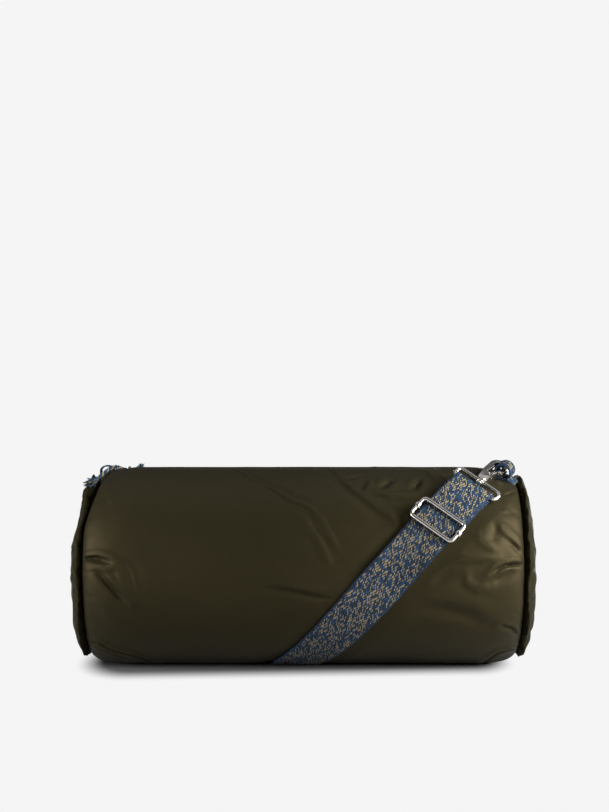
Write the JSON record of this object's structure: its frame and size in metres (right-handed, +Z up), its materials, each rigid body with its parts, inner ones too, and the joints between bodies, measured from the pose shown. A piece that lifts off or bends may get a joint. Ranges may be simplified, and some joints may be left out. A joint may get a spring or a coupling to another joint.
{
  "type": "bowling bag",
  "caption": "Barrel-shaped padded shoulder bag with a zipped top, round padded ends and a woven strap on swivel hooks.",
  "frame": {"origin": "centre of the base on the floor", "axes": "+X along the barrel to its right end, -Y out of the front, +Z up"},
  "size_m": [0.4266, 0.277, 0.1877],
  "materials": {
    "nylon": "satin",
    "lining_cloth": "matte",
    "webbing": "woven, blue with gold flecks",
    "cord_yarn": "twisted blue and gold yarn",
    "zip_tape": "matte",
    "zip_coil": "satin",
    "nickel": "polished"
  },
  "bodies": {
    "bag": {"body_panel": "nylon", "lining": "lining_cloth", "strap_webbing": "webbing", "end_panel_right": "nylon", "tab_loop_right": "webbing", "strap_bail_right": "nickel", "zip_end_right": "zip_tape", "zip_stop_right": "nickel", "strap_fold_right": "webbing", "end_panel_left": "nylon", "tab_loop_left": "webbing", "strap_bail_left": "nickel", "zip_end_left": "zip_tape", "zip_stop_left": "nickel", "strap_fold_left": "webbing"},
    "zip_slider": {"zip_slider": "nickel", "pull_cord": "cord_yarn", "pull_tassel_left": "cord_yarn", "pull_tassel_right": "cord_yarn"},
    "mouth_front": {"front_facing": "nylon", "front_zip_tape": "zip_tape", "front_zip_coil": "zip_coil"},
    "mouth_rear": {"rear_facing": "nylon", "rear_zip_tape": "zip_tape", "rear_zip_coil": "zip_coil"},
    "adjuster": {"adjuster_frame": "nickel", "adjuster_bar": "nickel"},
    "hook_right": {"hook_body_right": "nickel", "gate_pin_right": "nickel", "gate_spring_right": "nickel"},
    "gate_right": {"hook_gate_right": "nickel"},
    "hook_left": {"hook_body_left": "nickel", "gate_pin_left": "nickel", "gate_spring_left": "nickel"},
    "gate_left": {"hook_gate_left": "nickel"}
  },
  "joints": [
    {"name": "zip_slide", "type": "slide", "parent": "bag", "child": "zip_slider", "axis": [1, 0, 0], "range_m": [0, 0.325], "deforming": ["pull_cord", "pull_tassel_left", "pull_tassel_right"]},
    {"name": "mouth_front", "type": "hinge", "parent": "bag", "child": "mouth_front", "pos_m": [0, -0.03785, 0.17185], "axis": [1, 0, 0], "range_deg": [0, 75]},
    {"name": "mouth_rear", "type": "hinge", "parent": "bag", "child": "mouth_rear", "pos_m": [0, 0.03785, 0.17185], "axis": [-1, 0, 0], "range_deg": [0, 75]},
    {"name": "hook_right_swivel", "type": "hinge", "parent": "bag", "child": "hook_right", "pos_m": [0.15971, -0.05652, 0.16933], "axis": [0.5003, 0.8004, 0.3302], "range_deg": [-20, 20]},
    {"name": "gate_right", "type": "hinge", "parent": "hook_right", "child": "gate_right", "pos_m": [0.16893, -0.04532, 0.17362], "axis": [0.1327, -0.4477, 0.8843], "range_deg": [0, 25], "stiffness_Nm_per_rad": 0.02, "springref_deg": -17.19},
    {"name": "hook_left_swivel", "type": "hinge", "parent": "bag", "child": "hook_left", "pos_m": [-0.15971, 0.07452, 0.15324], "axis": [-0.5003, -0.6968, 0.514], "range_deg": [-20, 20]},
    {"name": "gate_left", "type": "hinge", "parent": "hook_left", "child": "gate_left", "pos_m": [-0.16893, 0.06468, 0.16011], "axis": [-0.1327, 0.6483, 0.7497], "range_deg": [0, 25], "stiffness_Nm_per_rad": 0.02, "springref_deg": -17.19},
    {"name": "adjuster_slide", "type": "slide", "parent": "bag", "child": "adjuster", "axis": [0.6561, 0.3549, 0.6661], "range_m": [-0.008, 0.018], "deforming": ["strap_fold_right"]}
  ]
}
